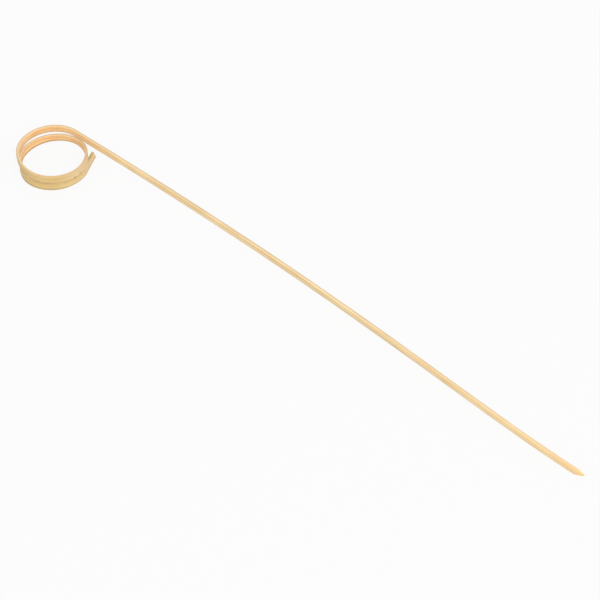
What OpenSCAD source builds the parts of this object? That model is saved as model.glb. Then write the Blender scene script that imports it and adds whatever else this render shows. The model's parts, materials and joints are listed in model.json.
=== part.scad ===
// Spiral bamboo pick: one split bamboo splint, wound into a coil at one end and cut to a point at the other.
// The splint stands on its edge all the way along. It is drawn as the stretches that a hand can tell apart:
// the coil, the root of the shaft, the shaft, its point and the coil's loose end.
// X runs along the shaft to the point and Z is up. The origin is on the table, in the middle of the outline.

/* [Splint] */
// Width of the splint, which stands upright
splint_w = 2.9; // [2:0.1:4]
// Thickness of the splint
splint_t = 1.05; // [0.8:0.05:1.6]
// Bevel along its four long edges
edge_bevel = 0.12; // [0.05:0.01:0.2]

/* [Coil] */
// Radius of the first turn, to the middle of the splint
loop_r = 13.1; // [9:0.1:18]
// How much tighter the last turn is
loop_taper = 1.05; // [0:0.05:2]
// Angle that the splint winds through, in degrees
coil_turn = 662; // [560:1:700]
// Clear height between one turn and the next
turn_gap = 1.45; // [1.4:0.05:4]
// Angle over which the slope of the shaft eases into that of the coil
ease_in = 38; // [15:1:45]
// Angle over which the last turn levels out
ease_out = 44; // [10:1:60]
// Outward spring of the end of the last turn
flare = 0.7; // [0:0.05:2]
// Angle over which that end springs outwards
flare_turn = 52; // [30:1:90]
// Rise of the second turn where it passes under the shaft
pass_rise = 0.3; // [0:0.05:0.35]
// Angle to each side over which it rises
pass_turn = 28; // [15:1:40]
// Inward lean of the splint where the coil leans most, in degrees
lean = 9; // [0:1:10]
// Angle from the shaft at which the coil stands upright, half a turn from where it leans most
lean_from = 80; // [40:1:100]
// Depth of the flat that the coil stands on
foot_cut = 0.5; // [0.3:0.05:0.8]

/* [Shaft] */
// Length of the shaft from the coil to the tip
shaft_l = 237.5; // [150:0.1:300]
// Length next to the coil that stays still when the shaft is bent
root_l = 35.5; // [20:0.5:60]
// Sideways offset of the tip, from the shaft's lasting bow
bow = 11.6; // [0:0.1:20]
// Offset by which the far part of the shaft bends back again
back_bow = 1.35; // [0:0.05:3]

/* [Point] */
// Length of the cut point, along its upper edge
point_l = 3.2; // [2:0.1:12]
// Length by which the cut along its lower edge is longer
heel_l = 0.8; // [0.2:0.1:2]
// Width left at the tip
tip_w = 0.4; // [0.2:0.05:1]
// Thickness left at the tip
tip_t = 0.4; // [0.15:0.05:0.6]
// Height of the tip above the middle of the splint
tip_rise = 0.6; // [0:0.1:1]

/* [Loose end] */
// Length of the straight loose end
loose_l = 7.9; // [4:0.1:15]

/* [Bending lines] */
// Gap between the round root of a moving stretch and the stretch it bends on
bend_gap = 0.12; // [0.08:0.01:0.3]

/* [Hidden] */

// Fineness of the sweeps and of the round roots
turn_rings = 72;
ring_step = 360 / turn_rings;
shaft_step = 6;
$fn = 48;

// Colours of the bamboo, as lit in the picture
coil_colour = "#dfb983";
shaft_colour = "#ecd0a0";
cut_colour = "#f6d9a6";

// Drop of the coil, per degree, and the length of splint in one degree of the first turn
drop = (splint_w + turn_gap) / 360;
arc = PI * loop_r / 180;

// A run that starts level and becomes steady after the given angle
function eased(a, ease) = a - ease * (1 - exp(-a / ease));

// The shaft slopes evenly, so that its lower edge touches the table at the heel of the point
under_l = point_l + heel_l;
foot_z = splint_w / 2 - foot_cut;
coil_top = foot_z + drop * (eased(coil_turn, ease_out) - ease_in);
shaft_slope = (coil_top - splint_w / 2) / (shaft_l - under_l + arc * ease_in);

// Radius of the coil, its rate per degree, its height and its lean, at the angle a from the shaft
taper_rate = loop_taper / eased(coil_turn, ease_in);
function flaring(a) = max(0, 1 - (coil_turn - a) / flare_turn);
function coil_r(a) = loop_r - taper_rate * eased(a, ease_in) + flare * pow(flaring(a), 2);
function coil_r_rate(a) = 2 * flare / flare_turn * flaring(a) - taper_rate * (1 - exp(-a / ease_in));
function coil_z(a) =
    foot_z + drop * eased(coil_turn - a, ease_out) - (drop + shaft_slope * arc) * ease_in * exp(-a / ease_in)
    + pass_rise * exp(-pow((a - 360) / pass_turn, 2));
function leaning(a) = lean * (1 - exp(-a / ease_in)) * (1 - cos(a - lean_from)) / 2;

// Middle line of the coil, wound from the shaft to the loose end, and its direction in plan
function coil_at(a) = [-coil_r(a) * sin(a), coil_r(a) * cos(a), coil_z(a)];
function coil_dir(a) =
    let (rate = coil_r_rate(a) * 180 / PI)
    let (d = [-rate * sin(a) - coil_r(a) * cos(a), rate * cos(a) - coil_r(a) * sin(a)])
    d / norm(d);

// Middle line of the shaft at the distance s from the coil, and its direction in plan, towards the coil
back_peak = pow(5 / 6, 5) / 6;
function shaft_at(s) =
    let (u = s / shaft_l)
    [s, loop_r - bow * pow(u, 2) - back_bow * pow(u, 5) * (1 - u) / back_peak, coil_z(0) - shaft_slope * s];
function shaft_dir(s) =
    let (u = s / shaft_l)
    let (sway = 2 * bow * u + back_bow * (5 * pow(u, 4) - 6 * pow(u, 5)) / back_peak)
    let (d = [-shaft_l, sway])
    d / norm(d);

// Cross-section of the splint at the point p, square to the direction dir, with its long edges bevelled
function section(p, dir, w = splint_w, t = splint_t, tilt = 0) =
    let (b = min(edge_bevel, w / 4, t / 4))
    let (half = [[t / 2, w / 2 - b], [t / 2 - b, w / 2], [b - t / 2, w / 2], [-t / 2, w / 2 - b]])
    [
        for (c = concat(half, -half))
            let (out = c.x * cos(tilt) - c.y * sin(tilt))
            let (up = c.y * cos(tilt) + c.x * sin(tilt))
            [p.x + dir.y * out, p.y - dir.x * out, p.z + up]
    ];

// Cross-section of the point at the distance d from the tip, cut from above, from below and from both sides
function between(a, b, share) = a + (b - a) * min(1, share);
function point_section(d) =
    let (top = between(tip_rise + tip_w / 2, splint_w / 2, d / point_l))
    let (bottom = between(tip_rise - tip_w / 2, -splint_w / 2, d / under_l))
    let (t = between(tip_t, splint_t, d / point_l))
    let (s = shaft_l - d)
    section(shaft_at(s) + [0, 0, (top + bottom) / 2], shaft_dir(s), top - bottom, t);

// Rings of each stretch, in the order of winding: from the tip, round the coil, to the loose end
root_r = splint_t / 2 - edge_bevel;
seat = root_r + bend_gap;
shoulder = shaft_l - under_l;
coil_end = coil_turn - seat / (PI * coil_r(coil_turn) / 180);
end_at = coil_at(coil_turn);
end_dir = coil_dir(coil_turn);
loose_h = end_at.z + splint_w / 2;
loose_mid = [end_at.x, end_at.y, loose_h / 2];

function shaft_run(from, to) =
    let (n = ceil((from - to) / shaft_step))
    [for (i = [0 : n]) let (s = from + (to - from) * i / n) section(shaft_at(s), shaft_dir(s))];

coil_angles = concat([for (a = [0 : ring_step : coil_end - ring_step / 2]) a], [coil_end]);
coil_rings = [for (a = coil_angles) section(coil_at(a), coil_dir(a), tilt = leaning(a))];
root_rings = shaft_run(root_l - seat, 0);
shaft_rings = shaft_run(shoulder, root_l);
point_rings = [for (d = [0, point_l, under_l]) point_section(d)];
loose_rings = [
    for (d = [0, loose_l])
        section(end_at + d * [end_dir.x, end_dir.y, 0], end_dir, tilt = leaning(coil_turn))
];

// Middle of the outline, which the origin lies under
outline = [for (ring = concat(coil_rings, point_rings, loose_rings), p = ring) p];
middle = [for (k = [0, 1]) let (v = [for (p = outline) p[k]]) (min(v) + max(v)) / 2];

// Least gap between points of the coil that lie over half a turn apart
coil_gap = min([
    for (i = [0 : len(coil_rings) - 1], j = [i + turn_rings / 2 : len(coil_rings) - 1])
        for (p = coil_rings[i], q = coil_rings[j]) norm(p - q)
]);
echo(str("Least gap of the coil to itself: ", coil_gap, " mm"));
echo(str("Middle of the outline from the axis of the coil: ", middle));

// One stretch of the splint, swept through its rings
module stretch(rings) {
    m = len(rings[0]);
    last = (len(rings) - 1) * m;
    sides = [
        for (i = [0 : m : last - m], k = [0 : m - 1], upper = [0, 1])
            let (a = i + k, b = i + (k + 1) % m)
            upper ? [a, b + m, a + m] : [a, b, b + m]
    ];
    first_cap = [for (k = [1 : m - 2]) [0, k + 1, k]];
    last_cap = [for (k = [1 : m - 2]) [last, last + k, last + k + 1]];
    polyhedron(points = [for (r = rings, p = r) p], faces = concat(sides, first_cap, last_cap));
}

// Round root of a moving stretch of height h, upright on its bending line through p, clear of the bevels
module round_root(p, h) {
    root_h = h - 6 * edge_bevel;
    translate([p.x, p.y, p.z - root_h / 2])
        cylinder(r = root_r, h = root_h);
}

module on_table() {
    translate([-middle.x, -middle.y, 0])
        children();
}

// A stretch of the last turn, cut flat where it stands on the table
module cut_flat() {
    block = 4 * loop_r;
    difference() {
        children();
        translate([-block / 2, -block / 2, -block])
            cube(block);
    }
}

// Coil of nearly two turns, standing on a flat cut under its last turn
module coil() {
    color(coil_colour)
        on_table()
            cut_flat()
                stretch(coil_rings);
}

// First stretch of the shaft, which runs out of the coil and moves with it
module shaft_root() {
    color(shaft_colour)
        on_table()
            stretch(root_rings);
}

// Long stretch of the shaft, which bends sideways as a whole
module shaft() {
    color(shaft_colour)
        on_table() {
            stretch(shaft_rings);
            round_root(shaft_at(root_l), splint_w);
        }
}

// Point, cut more from below than from above
module point() {
    color(cut_colour)
        on_table()
            stretch(point_rings);
}

// Loose end of the coil, which stands on the table too and springs in and out
module loose_end() {
    color(coil_colour)
        on_table() {
            cut_flat()
                stretch(loose_rings);
            round_root(loose_mid, loose_h);
        }
}

coil();
shaft_root();
shaft();
point();
loose_end();
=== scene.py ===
# Spiral bamboo pick: one bamboo splint, wound into a coil at one end and cut to a point at the other.
# X runs along the shaft to the point and Z is up. Lengths are in metres, written as millimetres times MM.
import json
import math

import bmesh
import bpy
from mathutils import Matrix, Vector


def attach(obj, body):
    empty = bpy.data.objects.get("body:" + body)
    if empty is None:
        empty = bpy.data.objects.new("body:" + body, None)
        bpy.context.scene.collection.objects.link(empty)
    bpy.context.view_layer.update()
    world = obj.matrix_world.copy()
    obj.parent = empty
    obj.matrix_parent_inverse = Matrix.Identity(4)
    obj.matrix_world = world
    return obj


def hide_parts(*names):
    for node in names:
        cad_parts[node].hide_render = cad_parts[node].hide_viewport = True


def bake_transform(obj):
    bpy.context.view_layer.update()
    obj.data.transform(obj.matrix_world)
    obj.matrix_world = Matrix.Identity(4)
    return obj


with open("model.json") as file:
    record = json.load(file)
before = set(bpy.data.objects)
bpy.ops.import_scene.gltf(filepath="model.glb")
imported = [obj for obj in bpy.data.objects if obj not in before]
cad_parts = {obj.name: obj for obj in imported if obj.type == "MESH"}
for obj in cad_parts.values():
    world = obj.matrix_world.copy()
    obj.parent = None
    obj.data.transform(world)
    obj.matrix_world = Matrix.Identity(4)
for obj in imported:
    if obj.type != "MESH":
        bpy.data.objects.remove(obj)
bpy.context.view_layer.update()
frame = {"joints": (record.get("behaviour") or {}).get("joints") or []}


# Winding line
# The pick is one splint, steamed and wound round a mandrel, so one line carries all its pieces. It starts at
# the tip, follows the bowed shaft, goes nearly twice round and ends straight, in the loose end. The turns
# aren't quite round, and the splint leans inwards or outwards by a few degrees on its way.
MM = 0.001
splint_w = 2.9 * MM
loop_r = 13.1 * MM
loop_taper = 1.05 * MM
coil_turn = 662
turn_gap = 1.45 * MM
ease_in = 38
ease_out = 44
flare = 0.7 * MM
flare_turn = 52
pass_rise = 0.3 * MM
pass_turn = 28
lean = 9
lean_from = 80
foot_cut = 0.5 * MM
shaft_l = 237.5 * MM
root_l = 35.5 * MM
bow = 11.6 * MM
back_bow = 1.35 * MM
point_l = 3.2 * MM
heel_l = 0.8 * MM
loose_l = 7.9 * MM
loose_twist = 7
loose_out = 0.35 * MM
# Where the coil isn't round, and where it leans outwards: by how much, at which angle and over which turn
out_of_round = (
    (-0.35 * MM, 160, 32),
    (0.2 * MM, 335, 20),
    (0.22 * MM, 470, 18),
    (-0.22 * MM, 501, 16),
    (0.28 * MM, 540, 22),
    (-0.2 * MM, 604, 30),
    (-0.12 * MM, 662, 14),
)
out_of_plumb = ((6, 114, 30), (5, 163, 20), (8, 335, 20), (13, 448, 36), (-5, 662, 30))

under_l = point_l + heel_l
drop = (splint_w + turn_gap) / 360
arc = math.radians(loop_r)
foot_z = splint_w / 2 - foot_cut


def eased(angle, ease):
    """A run that starts level and becomes steady after the given angle."""
    return angle - ease * (1 - math.exp(-angle / ease))


coil_top = foot_z + drop * (eased(coil_turn, ease_out) - ease_in)
shaft_slope = (coil_top - splint_w / 2) / (shaft_l - under_l + arc * ease_in)
taper_rate = loop_taper / eased(coil_turn, ease_in)


def swell(angle, at, turn):
    """1 at one angle of the coil, fading out over a turn to each side."""
    return math.exp(-(((angle - at) / turn) ** 2))


def coil_at(angle):
    """Middle of the splint in the coil, wound round the origin, at an angle in degrees from the shaft."""
    flaring = max(0, 1 - (coil_turn - angle) / flare_turn)
    radius = loop_r - taper_rate * eased(angle, ease_in) + flare * flaring**2
    radius += sum(step * swell(angle, at, turn) for step, at, turn in out_of_round)
    height = foot_z + drop * eased(coil_turn - angle, ease_out)
    height -= (drop + shaft_slope * arc) * ease_in * math.exp(-angle / ease_in)
    height += pass_rise * swell(angle, 360, pass_turn)
    turn = math.radians(angle)
    return Vector((-radius * math.sin(turn), radius * math.cos(turn), height))


def leaning(angle):
    """Inward lean of the splint in the coil, at an angle from the shaft, both in degrees."""
    inwards = lean * (1 - math.exp(-angle / ease_in)) * (1 - math.cos(math.radians(angle - lean_from))) / 2
    return inwards - sum(step * swell(angle, at, turn) for step, at, turn in out_of_plumb)


def shaft_at(distance):
    """Middle of the splint in the shaft, at a distance along X from the coil."""
    u = distance / shaft_l
    back_peak = (5 / 6) ** 5 / 6
    sway = bow * u**2 + back_bow * u**5 * (1 - u) / back_peak
    return Vector((distance, loop_r - sway, coil_at(0).z - shaft_slope * distance))


# The coil's axis, from the place that the frame gives for the bending line of the shaft
shaft_bend = next(joint for joint in frame["joints"] if joint["name"] == "shaft_bend")
coil_axis = Vector(shaft_bend["pos_m"]) - shaft_at(root_l)
coil_axis.z = 0

# The loose end runs on level, in the direction of the coil's last tenth of a degree
coil_end = coil_at(coil_turn)
end_run = coil_end - coil_at(coil_turn - 0.1)
end_run.z = 0
end_run.normalize()
end_side = Vector((end_run.y, -end_run.x, 0))

# Points of the line, a millimetre apart on the shaft and a degree apart on the coil, and the lean at each
shaft_steps = round(shaft_l / MM)
line = [shaft_at(shaft_l * (1 - i / shaft_steps)) for i in range(shaft_steps)]
line += [coil_at(angle) for angle in range(coil_turn + 1)]
line += [coil_end + end_run * loose_l + end_side * loose_out]
line = [point + coil_axis for point in line]
leans = [0] * shaft_steps + [leaning(angle) for angle in range(coil_turn + 1)]
leans += [leaning(coil_turn) + loose_twist]

# Distance along the line from the tip to the start of the coil, to the root of the loose end and to its end
reach = [0.0]
for here, there in zip(line, line[1:]):
    reach.append(reach[-1] + (there - here).length)
coil_x = reach[shaft_steps]
loose_x = reach[shaft_steps + coil_turn]
end_x = reach[-1]

mandrel = bpy.data.objects.new("winding_line", bpy.data.curves.new("winding_line", "CURVE"))
mandrel.data.dimensions = "3D"
mandrel.data.twist_mode = "Z_UP"
mandrel.data.use_deform_bounds = False
spline = mandrel.data.splines.new("POLY")
spline.points.add(len(line) - 1)
for knot, point, tilt in zip(spline.points, line, leans):
    knot.co = (*point, 1)
    knot.tilt = -math.radians(tilt)
bpy.context.scene.collection.objects.link(mandrel)


# Straight splint
# Split from a culm and planed: its long edges are worn round, its faces keep the ridges of the fibres, and
# the stretch before the tip is rubbed rounder. It lies along X from the tip, +Y on the inside of the coil.
splint_t = 1.05 * MM
worn_round = 0.42 * MM
edge_round = 0.2 * MM
ring_step = 0.6 * MM
cuts_across = 25
cuts_through = 7
ridge_height = 0.04 * MM
ridge_spread = (20 * MM, 0.22 * MM, 0.22 * MM)
waver_height = 0.1 * MM
waver_spread = (26 * MM, 3 * MM, 3 * MM)
rubbed_from = 150 * MM
rubbed_full = 50 * MM
rub_rounds = 10
# Shares from which an edge runs along an axis, a face looks along X and a place is at the splint's edge
edge_along = 0.99
face_along = 0.9
at_edge = 0.49


def choose(kind, test):
    """Selects the verts, edges or faces of the mesh in edit mode that pass a test."""
    mesh = bmesh.from_edit_mesh(bpy.context.object.data)
    bpy.ops.mesh.select_mode(type={"verts": "VERT", "edges": "EDGE", "faces": "FACE"}[kind])
    bpy.ops.mesh.select_all(action="DESELECT")
    for item in getattr(mesh, kind):
        item.select_set(test(item))
    mesh.select_flush_mode()
    bmesh.update_edit_mesh(bpy.context.object.data)


def runs_along(axis, at=lambda place: True):
    """A test for edges that run along an axis, 0 for X to 2 for Z, at certain places."""

    def test(edge):
        here, there = (vertex.co for vertex in edge.verts)
        return abs((there - here)[axis]) > edge_along * (there - here).length and at(here)

    return test


def looks_along(*sides):
    """A test for faces that look along X, to one side of it or to both, -1 or 1."""
    return lambda face: any(side * face.normal.x > face_along for side in sides)


def at_worn_edge(place):
    """The upper edge on the inside of the coil."""
    return place.y > at_edge * splint_t and place.z > at_edge * splint_w


def at_other_edges(place):
    """The corners of the splint that are still sharp, once the worn edge is round."""
    return abs(place.y) > at_edge * splint_t and abs(place.z) > at_edge * splint_w


def roughen(piece, name, height, spread):
    """Raises and lowers the surface by a cloudy pattern that is drawn out along the fibres."""
    bpy.ops.object.empty_add()
    stretch = bpy.context.object
    stretch.scale = spread
    bpy.context.view_layer.objects.active = piece
    clouds = bpy.data.textures.new(name, "CLOUDS")
    clouds.noise_scale = 1
    displace = piece.modifiers.new(name, "DISPLACE")
    displace.texture = clouds
    displace.texture_coords = "OBJECT"
    displace.texture_coords_object = stretch
    displace.strength = height
    bpy.ops.object.modifier_apply(modifier=name)
    bpy.data.objects.remove(stretch)


bpy.ops.object.select_all(action="DESELECT")
bpy.ops.mesh.primitive_cube_add(size=1, location=(end_x / 2, 0, 0))
splint = bpy.context.object
splint.name = "straight_splint"
splint.scale = (end_x, splint_t, splint_w)
bpy.ops.object.transform_apply()
bpy.ops.object.mode_set(mode="EDIT")
choose("faces", looks_along(-1, 1))
bpy.ops.mesh.delete(type="FACE")
choose("edges", runs_along(0, at_worn_edge))
bpy.ops.mesh.bevel(offset=worn_round, segments=5)
choose("edges", runs_along(0, at_other_edges))
bpy.ops.mesh.bevel(offset=edge_round, segments=3)
choose("edges", runs_along(2))
bpy.ops.mesh.subdivide(number_cuts=cuts_across)
choose("edges", runs_along(1))
bpy.ops.mesh.subdivide(number_cuts=cuts_through)
rings = math.ceil(math.sqrt(end_x / ring_step))
for _ in range(2):
    choose("edges", runs_along(0))
    bpy.ops.mesh.subdivide(number_cuts=rings - 1)
bpy.ops.object.mode_set(mode="OBJECT")

rubbed = splint.vertex_groups.new(name="rubbed")
for vertex in splint.data.vertices:
    share = (rubbed_from - vertex.co.x) / (rubbed_from - rubbed_full)
    rubbed.add([vertex.index], min(1, max(0, share)), "REPLACE")
rub = splint.modifiers.new("rubbing", "SMOOTH")
rub.vertex_group = "rubbed"
rub.use_x = False
rub.iterations = rub_rounds
bpy.ops.object.modifier_apply(modifier="rubbing")
roughen(splint, "fibre_ridges", ridge_height, ridge_spread)
roughen(splint, "split_waver", waver_height, waver_spread)


class Shade:
    """A value, colour or vector of a material. Sums and products of values add Math nodes to it."""

    def __init__(self, tree, socket=None):
        self.tree = tree
        self.socket = socket

    def node(self, kind, settings, inputs, output=0):
        """Adds a node, makes its settings, sets or links its inputs, and gives one of its outputs."""
        made = self.tree.nodes.new(kind)
        for name, setting in settings.items():
            setattr(made, name, setting)
        for name, value in inputs.items():
            if isinstance(value, Shade):
                self.tree.links.new(value.socket, made.inputs[name])
            else:
                made.inputs[name].default_value = value
        return Shade(self.tree, made.outputs[output])

    def feed(self, shader, name):
        """Links this value to an input of a shader."""
        self.tree.links.new(self.socket, shader.inputs[name])

    def maths(self, operation, first, second):
        """Adds a Math node."""
        return self.node("ShaderNodeMath", {"operation": operation}, {0: first, 1: second})

    def __add__(self, other):
        return self.maths("ADD", self, other)

    def __sub__(self, other):
        return self.maths("SUBTRACT", self, other)

    def __rsub__(self, other):
        return self.maths("SUBTRACT", other, self)

    def __mul__(self, other):
        return self.maths("MULTIPLY", self, other)

    __radd__ = __add__
    __rmul__ = __mul__

    def rise(self, low, high):
        """A soft step from 0 at low to 1 at high."""
        limits = {"Value": self, "From Min": low, "From Max": high}
        return self.node("ShaderNodeMapRange", {"interpolation_type": "SMOOTHSTEP"}, limits)

    def between(self, low, high):
        """A colour between two others, by this value."""
        return self.node("ShaderNodeMix", {"data_type": "RGBA"}, {0: self, 6: low, 7: high}, 2)

    def part(self, axis):
        """The X, Y or Z part of a vector."""
        return self.node("ShaderNodeSeparateXYZ", {}, {0: self}, axis)

    def drawn(self, length, width):
        """This place, measured in lengths along X and in widths across."""
        spread = (1 / length, 1 / width, 1 / width)
        return self.node("ShaderNodeVectorMath", {"operation": "MULTIPLY"}, {0: self, 1: spread})

    def streaks(self, length, width, detail=2):
        """A cloudy pattern from 0 to 1, drawn out to a length along X and a width across."""
        pattern = {"Vector": self.drawn(length, width), "Scale": 1, "Detail": detail}
        return self.node("ShaderNodeTexNoise", {}, pattern)

    def fleck(self, place, length, width):
        """1 around a place and 0 beyond a length along X and a width across."""
        off = self.node("ShaderNodeVectorMath", {"operation": "SUBTRACT"}, {0: self, 1: place})
        off = off.drawn(length, width)
        far = off.node("ShaderNodeVectorMath", {"operation": "LENGTH"}, {0: off}, "Value")
        return far.rise(1, 0.4)


def colour(code):
    """A colour from its six-digit code, as light values with alpha."""
    parts = [int(code[i : i + 2], 16) / 255 for i in (1, 3, 5)]
    return [part / 12.92 if part < 0.04045 else ((part + 0.055) / 1.055) ** 2.4 for part in parts] + [1]


def bamboo(name):
    """A new material, its shader, and the place in the straight splint that its pattern follows."""
    material = bpy.data.materials.new(name)
    material.use_nodes = True
    place = Shade(material.node_tree).node("ShaderNodeAttribute", {"attribute_name": "grain"}, {}, "Vector")
    return material, material.node_tree.nodes["Principled BSDF"], place


def split_bamboo():
    """Planed bamboo: straw on the shaft, darkened by steam on the coil, olive tan on the culm's skin."""
    material, shader, grain = bamboo("split_bamboo")
    along = grain.part("X")
    through = grain.part("Y")
    across = grain.part("Z")

    # Streaks, fibres, dark bundles and cloudy blotches, all drawn out along the grain
    band = grain.streaks(60 * MM, 0.6 * MM)
    fibre = grain.streaks(14 * MM, 0.12 * MM, detail=3)
    bundle = grain.streaks(7 * MM, 0.17 * MM).rise(0.58, 0.72)
    blotch = grain.streaks(9 * MM, 2 * MM)
    tone = 0.5 + 2.2 * (band - 0.5) + 0.6 * (fibre - 0.5) + 1.3 * (blotch - 0.5)

    # Where the steam, the culm's skin, the edges, the wear and the painted light and shade show
    heated = along.rise(coil_x - 55 * MM, coil_x + 35 * MM)
    steamed = heated * (1 - 0.2 * along.rise(coil_x + 40 * MM, coil_x + 80 * MM))
    second = along.rise(coil_x + 76 * MM, coil_x + 90 * MM)
    skin = (through + 0.3 * MM * heated).rise(0.36 * MM, 0.04 * MM)
    upper = across.rise(1.15 * MM, 1.42 * MM)
    lower = across.rise(-0.45 * MM, -1.3 * MM)
    crease = across.rise(1 * MM, 0.65 * MM) * across.rise(0, 0.35 * MM) * along.rise(80 * MM, 120 * MM)
    pale = along.rise(55 * MM, 5 * MM)
    ripe = along.rise(end_x - 6.5 * MM, end_x - 3 * MM) * across.rise(0.1 * MM, 1.2 * MM)
    ripe = ripe * through.rise(0.2 * MM, -0.1 * MM)
    faded = grain.fleck((coil_x + 67 * MM, -splint_t / 2, 0), 16 * MM, 4 * MM)
    faded = faded + along.rise(loose_x - 6 * MM, loose_x)
    lit_face = grain.fleck((coil_x + 28 * MM, splint_t / 2, 0), 12 * MM, 2.6 * MM)

    # Tones of bare wood and rind, and lighter and darker planed wood for painted highlight and shade
    straw = tone.between(colour("#e9c58c"), colour("#ffe6b2"))
    core = tone.between(colour("#e2a665"), colour("#ffd396"))
    planed_lit = tone.between(colour("#f6ce98"), colour("#ffe6b6"))
    planed_shaded = tone.between(colour("#dfbf92"), colour("#f6dfb8"))
    planed_tip = tone.between(colour("#fad092"), colour("#ffdfaa"))
    dry_rind = tone.between(colour("#cfb387"), colour("#e8cfa4"))
    wet_rind = tone.between(colour("#cca868"), colour("#e4c88b"))

    # The wood, the rind over it, then wear, bundles, stains, painted shade and painted light
    wood = steamed.between(straw, core)
    # Painted light: a paler patch on the inner face of the first turn, on the left of the coil, as if lit
    # more strongly.
    wood = (0.6 * lit_face).between(wood, colour("#f8d4a6"))
    # The coil's top edge gets its own paler tone, lighter still on the second turn: painted light against
    # the first turn's shadow.
    wood = (0.85 * upper * steamed).between(wood, second.between(colour("#eaccaa"), colour("#ffe4bf")))
    # Painted shade: the coil's lower edge is darker, more so on the second turn, which stands on the table.
    wood = (0.8 * lower * steamed).between(wood, second.between(colour("#c4a68c"), colour("#ad8a64")))
    # Painted highlight and painted shade on the shaft: its planed face is lighter towards the top and darker
    # towards the bottom.
    wood = (0.5 * across.rise(0.3 * MM, 1.1 * MM) * (1 - heated)).between(wood, planed_lit)
    wood = (0.9 * across.rise(0.4 * MM, -1 * MM) * (1 - heated)).between(wood, planed_shaded)
    wood = (0.3 * crease * (1 - heated)).between(wood, colour("#dab270"))
    wood = skin.between(wood, steamed.between(dry_rind, wet_rind))
    wood = (0.5 * pale).between(wood, planed_tip)
    wood = (0.7 * faded * skin).between(wood, colour("#e6cb9e"))
    wood = (0.8 * ripe).between(wood, colour("#d8bb76"))
    # Painted shade: a thin dark line along the lower edge of the rind on the coil, where the turns meet and
    # where it stands on the table.
    wood = (0.2 * heated * skin * across.rise(-1.1 * MM, -1.4 * MM)).between(wood, colour("#8a6a14"))
    # The second turn's rind is darker and more olive towards its bottom.
    wood = (0.3 * second * skin * across.rise(-0.2 * MM, -0.8 * MM)).between(wood, colour("#a8924e"))
    wood = (0.25 * bundle).between(wood, colour("#b98a52"))
    # Stains, pale places, painted light and painted shade: where, how long and wide, in which colour and how
    # strong
    for place, length, width, stain, share in (
        # Painted highlight: a pale streak high on the side of the shaft, towards the tip.
        ((86 * MM, splint_t / 2, 0.4 * MM), 30 * MM, 1 * MM, "#ffe6b8", 0.35),
        ((coil_x + 58.9 * MM, -splint_t / 2, -1.35 * MM), 0.7 * MM, 0.45 * MM, "#6e4018", 0.6),
        ((coil_x + 61.6 * MM, -splint_t / 2, -1.2 * MM), 1 * MM, 0.6 * MM, "#b87434", 0.6),
        ((coil_x + 72 * MM, 0, splint_w / 2), 14 * MM, 1.2 * MM, "#d3a267", 0.2),
        ((coil_x + 46 * MM, -0.2 * MM, splint_w / 2), 12 * MM, 0.9 * MM, "#f3c89c", 0.4),
        # Painted shade: a dark streak on the first turn's lower edge at the front, the line between the
        # turns.
        ((coil_x + 42 * MM, -splint_t / 2, -splint_w / 2), 7 * MM, 0.5 * MM, "#7c5a14", 0.35),
        # Painted light: the shaft's lower edge and the second turn's top edge, where one passes over the
        # other, are paler against the shade between them.
        ((coil_x - 3 * MM, 0.3 * MM, -splint_w / 2), 9 * MM, 0.7 * MM, "#f8dcb4", 0.7),
        ((coil_x + 82 * MM, 0, splint_w / 2), 8 * MM, 0.9 * MM, "#f4dcb6", 0.5),
        # Painted light: a pale band on the second turn's rind at the front, against the shadow of the first
        # turn above it.
        ((coil_x + 117 * MM, -splint_t / 2, 0.5 * MM), 22 * MM, 1 * MM, "#eccd84", 0.35),
        ((coil_x + 138 * MM, -splint_t / 2, 0), 8 * MM, 1.5 * MM, "#f4d99e", 0.35),
        ((coil_x + 137.8 * MM, -0.4 * MM, splint_w / 2), 0.7 * MM, 0.5 * MM, "#6e4018", 0.45),
        # Painted light: a pale patch on the loose end's top edge at its root, against the shade of the
        # crease between it and the turn.
        ((loose_x + 1 * MM, 0.3 * MM, splint_w / 2), 4 * MM, 0.6 * MM, "#ffe6be", 0.7),
        ((end_x - 3.2 * MM, -0.3 * MM, splint_w / 2), 2.6 * MM, 0.6 * MM, "#b09a4c", 0.5),
    ):
        wood = (share * grain.fleck(place, length, width)).between(wood, colour(stain))
    wood.feed(shader, "Base Color")
    rough = 0.62 - 0.14 * skin + 0.15 * (fibre - 0.5)
    rough.feed(shader, "Roughness")
    ridges = {"Height": fibre - 0.3 * bundle, "Strength": 0.35, "Distance": 0.03 * MM}
    grain.node("ShaderNodeBump", {}, ridges).feed(shader, "Normal")
    shader.inputs["Specular IOR Level"].default_value = 0.35
    return material


def cut_bamboo():
    """Bamboo cut across its fibres: paler and matt, with the ends of the bundles as small dots."""
    material, shader, grain = bamboo("cut_bamboo")
    pith = grain.streaks(6 * MM, 0.25 * MM)
    dots = grain.streaks(6 * MM, 0.14 * MM, detail=1).rise(0.58, 0.68)
    wood = pith.between(colour("#f7ce90"), colour("#fddca3"))
    wood = (0.2 * dots).between(wood, colour("#c4935a"))
    wood.feed(shader, "Base Color")
    (0.75 + 0.1 * dots).feed(shader, "Roughness")
    ends = {"Height": dots, "Strength": 0.3, "Distance": 0.03 * MM}
    grain.node("ShaderNodeBump", {}, ends).feed(shader, "Normal")
    shader.inputs["Specular IOR Level"].default_value = 0.25
    return material


splint.data.materials.append(split_bamboo())
splint.data.materials.append(cut_bamboo())


# Point
# The last few millimetres of the splint, cut to a point with a knife: slanting cuts from above and below,
# the lower one steeper, and one along each side. The fresh cuts are paler than the planed faces.
tip_w = 0.4 * MM
tip_t = 0.4 * MM
tip_rise = 0.6 * MM
tip_trim = 0.02 * MM
# Angle in degrees from which an edge of a finished piece stays sharp
sharp_from = 40


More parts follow.
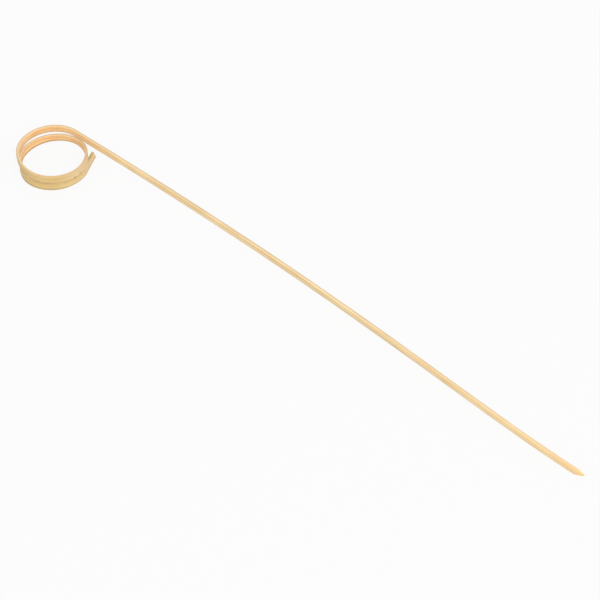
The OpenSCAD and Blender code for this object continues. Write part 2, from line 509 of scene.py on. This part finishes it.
def cut_off(place, away):
    """Cuts the piece in edit mode along a plane, takes away what lies in a direction, and closes the cut."""
    bpy.ops.mesh.select_all(action="SELECT")
    bpy.ops.mesh.bisect(
        plane_co=place,
        plane_no=away,
        use_fill=True,
        clear_outer=True,
        threshold=1e-7,
    )
    bpy.context.object.active_material_index = 1
    bpy.ops.object.material_slot_assign()


def stretch_of_splint(name, start, end):
    """A copy of the straight splint from one distance to another, left in edit mode."""
    bpy.ops.object.select_all(action="DESELECT")
    splint.select_set(True)
    bpy.context.view_layer.objects.active = splint
    bpy.ops.object.duplicate()
    stretch = bpy.context.object
    stretch.name = name
    bpy.ops.object.mode_set(mode="EDIT")
    cut_off((start, 0, 0), (-1, 0, 0))
    cut_off((end, 0, 0), (1, 0, 0))
    return stretch


def wind(stretch):
    """Takes a stretch out of edit mode, keeps its grain, and winds it along the line."""
    bpy.ops.mesh.select_all(action="SELECT")
    bpy.ops.mesh.normals_make_consistent(inside=False)
    bpy.ops.object.mode_set(mode="OBJECT")
    grain = stretch.data.attributes.new("grain", "FLOAT_VECTOR", "POINT")
    grain.data.foreach_set("vector", [c for vertex in stretch.data.vertices for c in vertex.co])
    follow = stretch.modifiers.new("winding", "CURVE")
    follow.object = mandrel
    bpy.ops.object.modifier_apply(modifier="winding")
    bpy.ops.object.shade_smooth_by_angle(angle=math.radians(sharp_from))


point = stretch_of_splint("cut_point", tip_trim, under_l)
bpy.ops.object.mode_set(mode="OBJECT")

# The wood that the knife leaves, which widens from the tip
lower_cut = tip_rise - tip_w / 2 + splint_w / 2
upper_cut = splint_w / 2 - tip_rise - tip_w / 2
side_cuts = splint_t - tip_t
bpy.ops.mesh.primitive_cube_add(size=1)
kept = bpy.context.object
kept.data.materials.append(point.data.materials[1])
bpy.ops.object.mode_set(mode="EDIT")
for side, at in ((-1, 0), (1, 2 * under_l)):
    top = tip_rise + tip_w / 2 + upper_cut * at / point_l
    bottom = tip_rise - tip_w / 2 - lower_cut * at / under_l
    thick = tip_t + side_cuts * at / point_l
    choose("faces", looks_along(side))
    bpy.ops.transform.resize(value=(1, thick, top - bottom), center_override=(side / 2, 0, 0))
    bpy.ops.transform.translate(value=(at - side / 2, 0, (top + bottom) / 2))
bpy.ops.object.mode_set(mode="OBJECT")
bpy.context.view_layer.objects.active = point
cuts = point.modifiers.new("knife_cuts", "BOOLEAN")
cuts.operation = "INTERSECT"
cuts.object = kept
cuts.material_mode = "TRANSFER"
bpy.ops.object.modifier_apply(modifier="knife_cuts")
bpy.data.objects.remove(kept)

bpy.ops.object.mode_set(mode="EDIT")
wind(point)
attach(point, "shaft")
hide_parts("point")


# Shaft
# The long, bowed stretch from the point to the coil, split and planed with the grain. It is springy across
# its thin side; where it would bend most, over the first part next to the coil, is worked out but not used.
bend_l = 60 * MM

shaft = stretch_of_splint("bowed_shaft", under_l, coil_x)
wind(shaft)
bend_from = shaft_at(root_l - bend_l / 2) + coil_axis
bend_to = shaft_at(root_l + bend_l / 2) + coil_axis
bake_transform(shaft)
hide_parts("shaft_root", "shaft")


# Coil
# Nearly two turns of the same splint, steamed soft and wound round a mandrel, whose shape they keep once
# dry. The last turn stands on the table, where its lower edge is worn flat.
spring_turn = 18
spring_at = shaft_steps + coil_turn - spring_turn


def stand_on_table():
    """Cuts off what the finished piece has below the table."""
    bpy.ops.object.mode_set(mode="EDIT")
    cut_off((0, 0, 0), (0, 0, -1))
    bpy.ops.object.mode_set(mode="OBJECT")


coil = stretch_of_splint("wound_coil", coil_x, reach[spring_at])
wind(coil)
stand_on_table()
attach(coil, "coil")
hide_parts("coil")


# Loose end
# The end of the last turn, which was held in the clamp of the mandrel and so stayed straight. It is sheared
# off, rubbed round at its end and free there, and this piece starts from the last bit of the turn.
end_round = 0.5 * MM
end_thinned = 0.25 * MM
end_trim = 0.02 * MM
end_arc = (20, 40, 60, 75, 88)

end_at = end_x - end_trim - end_round
loose = stretch_of_splint("sprung_end", reach[spring_at], end_at)
choose("faces", looks_along(1))
drawn_in = 0
for angle in end_arc:
    next_at = end_x - end_trim - end_round * (1 - math.sin(math.radians(angle)))
    next_in = 1 - math.cos(math.radians(angle))
    thinner = (splint_t / 2 - end_thinned * next_in) / (splint_t / 2 - end_thinned * drawn_in)
    narrower = (splint_w / 2 - end_round * next_in) / (splint_w / 2 - end_round * drawn_in)
    bpy.ops.mesh.extrude_region_move(TRANSFORM_OT_translate={"value": (next_at - end_at, 0, 0)})
    bpy.ops.transform.resize(value=(1, thinner, narrower), center_override=(next_at, 0, 0))
    end_at = next_at
    drawn_in = next_in
wind(loose)
stand_on_table()
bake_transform(loose)
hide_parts("loose_end")

bpy.data.objects.remove(mandrel)
bpy.data.objects.remove(splint)


# Table, lamp and camera
# The pick lies on a plain white table, in soft light from all round and from a wide lamp over its near right
# side. The camera sees the table lighter than it is, so that the ground is white and keeps a faint shadow.
sky_light = 0.88
lamp_at = Vector((0.9, -0.42, 0.76))
lamp_size = 0.7
lamp_power = 5.5
table_colour = 0.7
table_size = 6
table_glow = 0.9
camera_at = (0.312778, -0.377588, 0.531129)
camera_down = 47.18
camera_turn = 39
camera_lens = 122.8


def seen_in(tree):
    """1 for what the camera sees straight, in a reflection or through something, and 0 for other light."""
    rays = Shade(tree)
    seen = rays.node("ShaderNodeLightPath", {}, {}, "Is Camera Ray")
    seen = seen + rays.node("ShaderNodeLightPath", {}, {}, "Is Glossy Ray")
    return seen + rays.node("ShaderNodeLightPath", {}, {}, "Is Transmission Ray")


bpy.ops.mesh.primitive_plane_add(size=table_size)
table = bpy.context.object
table.name = "table"
table_white = bpy.data.materials.new("table_white")
table_white.use_nodes = True
tree = table_white.node_tree
tree.nodes.remove(tree.nodes["Principled BSDF"])
board = Shade(tree)
matt = board.node("ShaderNodeBsdfDiffuse", {}, {"Color": [table_colour] * 3 + [1]})
glow = board.node("ShaderNodeEmission", {}, {"Color": [1] * 4, "Strength": 1})
surface = board.node("ShaderNodeMixShader", {}, {0: table_glow * seen_in(tree), 1: matt, 2: glow})
surface.feed(tree.nodes["Material Output"], "Surface")
table.data.materials.append(table_white)

world = bpy.data.worlds.new("studio")
world.use_nodes = True
sky = world.node_tree.nodes["Background"]
sky.inputs["Color"].default_value = [1] * 4
(sky_light + (1 - sky_light) * seen_in(world.node_tree)).feed(sky, "Strength")
bpy.context.scene.world = world

lamp = bpy.data.objects.new("lamp", bpy.data.lights.new("lamp", "AREA"))
lamp.location = lamp_at
lamp.rotation_euler = (-lamp_at).to_track_quat("-Z", "Y").to_euler()
lamp.data.size = lamp_size
lamp.data.energy = lamp_power
bpy.context.scene.collection.objects.link(lamp)

camera = bpy.data.objects.new("camera", bpy.data.cameras.new("camera"))
camera.location = camera_at
camera.rotation_euler = (math.radians(90 - camera_down), 0, math.radians(camera_turn))
camera.data.lens = camera_lens
bpy.context.scene.collection.objects.link(camera)
bpy.context.scene.camera = camera
bpy.context.scene.view_settings.view_transform = "Standard"
